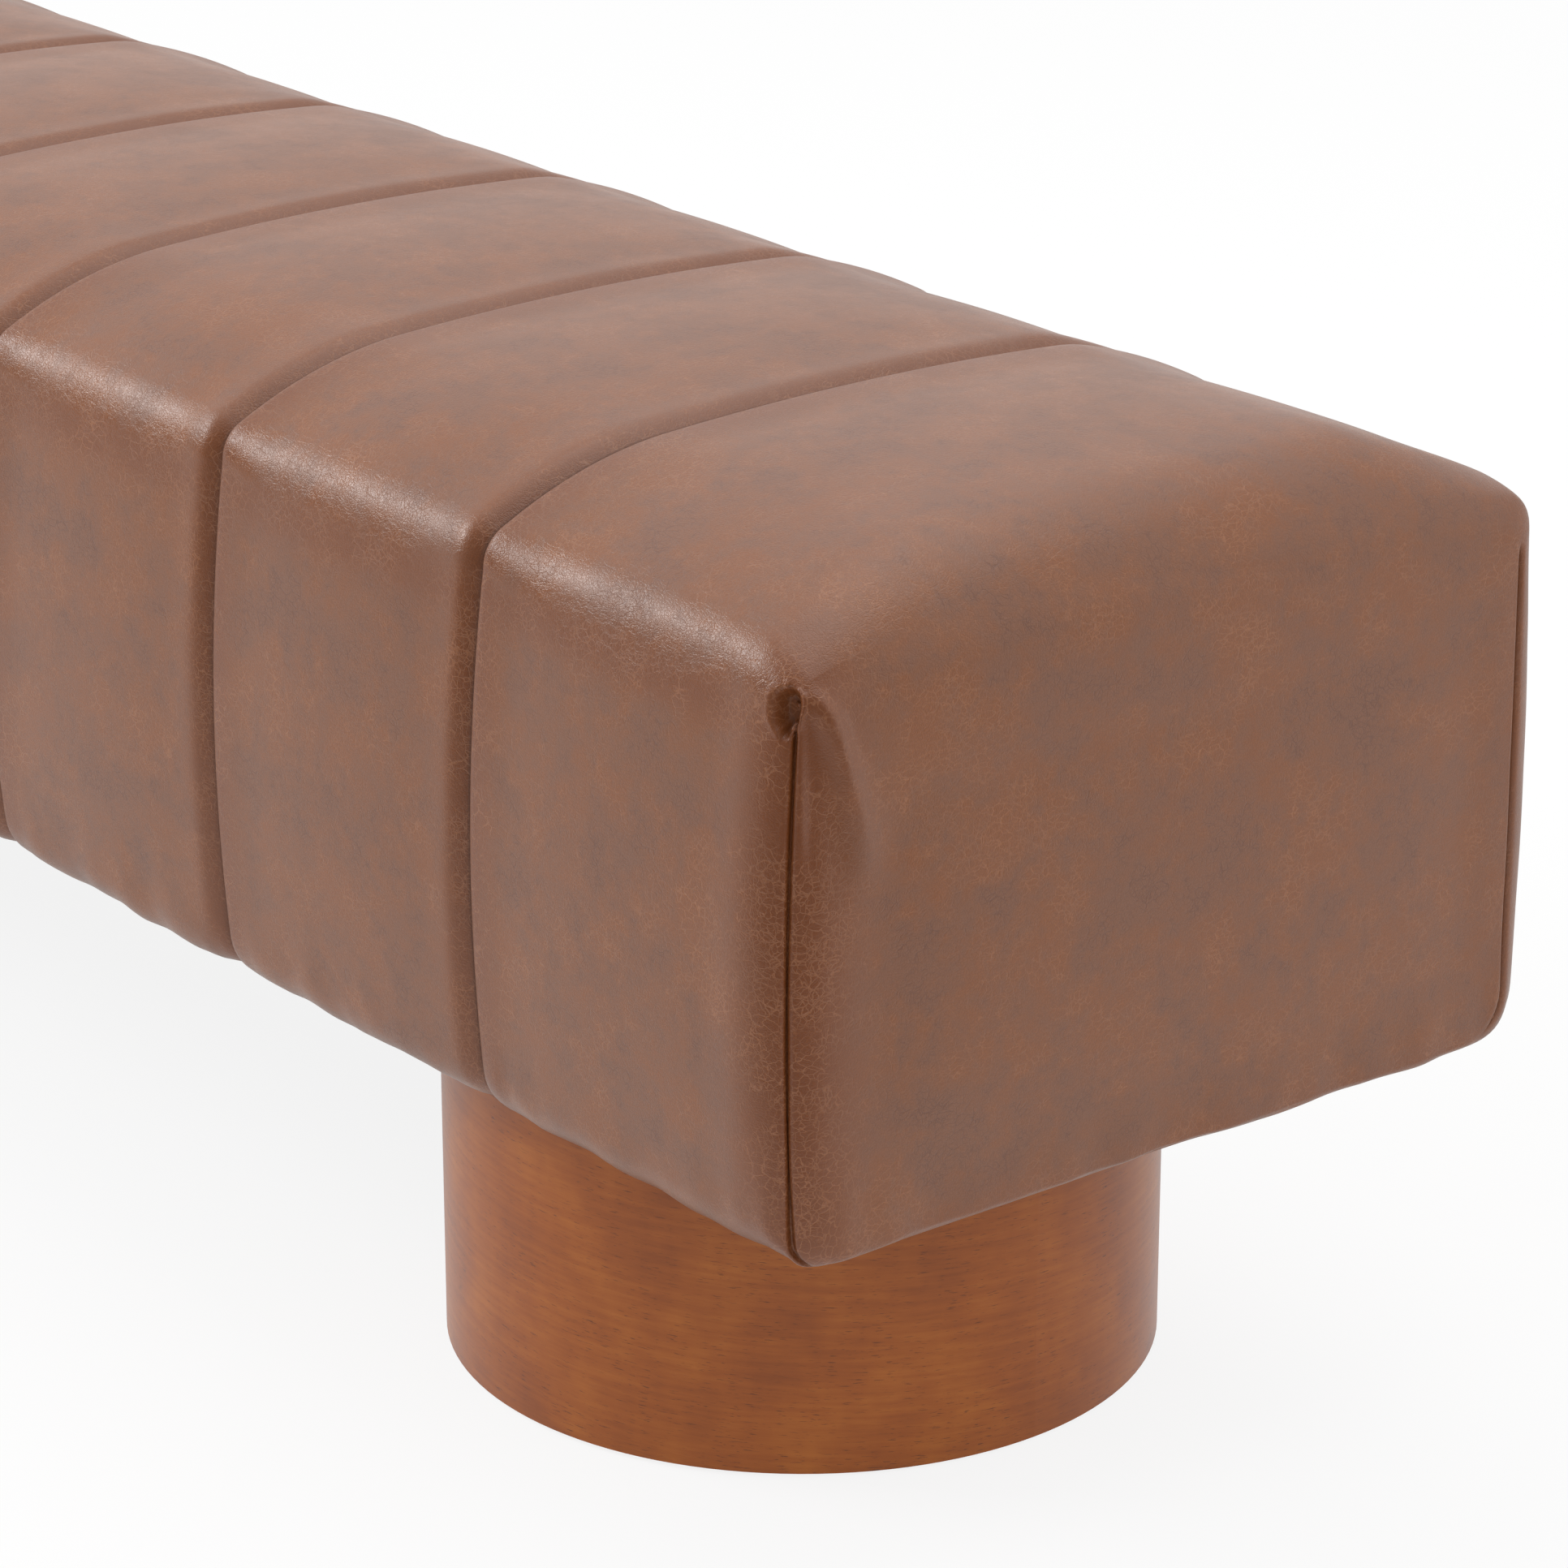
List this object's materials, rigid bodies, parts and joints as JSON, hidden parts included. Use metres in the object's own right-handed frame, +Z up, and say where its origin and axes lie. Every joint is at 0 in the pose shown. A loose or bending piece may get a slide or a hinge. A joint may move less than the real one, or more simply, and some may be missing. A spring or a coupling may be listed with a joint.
{
  "type": "upholstered dining bench",
  "caption": "Long upholstered dining bench: a deep box seat sewn in broad channels across its width, on round veneered drum legs.",
  "frame": {"origin": "on the floor under the middle of the bench", "axes": "+X along the length, +Y across the depth towards the back, +Z up"},
  "size_m": [1.556, 0.4182, 0.45],
  "materials": {
    "leather": "satin, pebbled leather-look cover",
    "fibre_pad": "soft polyester fibre",
    "foam": "open-cell foam",
    "timber": "planed softwood",
    "plywood": "sanded plywood",
    "drum_veneer": "stained wood veneer, satin lacquer",
    "dust_cloth": "matt non-woven cloth",
    "zinc_steel": "zinc-plated",
    "felt": "pressed felt"
  },
  "bodies": {
    "root": {"back_foam": "foam", "back_rail": "timber", "centre_cross_rail": "timber", "channel_cover_1": "leather", "channel_cover_2": "leather", "channel_cover_3": "leather", "channel_cover_4": "leather", "channel_cover_5": "leather", "channel_cover_6": "leather", "channel_pad_1": "fibre_pad", "channel_pad_2": "fibre_pad", "channel_pad_3": "fibre_pad", "channel_pad_4": "fibre_pad", "channel_pad_5": "fibre_pad", "channel_pad_6": "fibre_pad", "corner_blocks": "timber", "deck_screws": "zinc_steel", "dust_cover": "dust_cloth", "frame_screws": "zinc_steel", "front_foam": "foam", "front_rail": "timber", "left_cross_rail": "timber", "left_end_cover": "leather", "left_end_foam": "foam", "left_end_pad": "fibre_pad", "left_end_rail": "timber", "left_leg_board": "plywood", "left_leg_bolts": "zinc_steel", "left_leg_bottom_ring": "plywood", "left_leg_drum": "drum_veneer", "left_leg_glides": "felt", "left_leg_tee_nuts": "zinc_steel", "left_leg_top_disc": "plywood", "left_leg_washers": "zinc_steel", "right_cross_rail": "timber", "right_end_cover": "leather", "right_end_foam": "foam", "right_end_pad": "fibre_pad", "right_end_rail": "timber", "right_leg_board": "plywood", "right_leg_bolts": "zinc_steel", "right_leg_bottom_ring": "plywood", "right_leg_drum": "drum_veneer", "right_leg_glides": "felt", "right_leg_tee_nuts": "zinc_steel", "right_leg_top_disc": "plywood", "right_leg_washers": "zinc_steel", "seat_deck": "plywood", "seat_foam": "foam"}
  },
  "joints": []
}
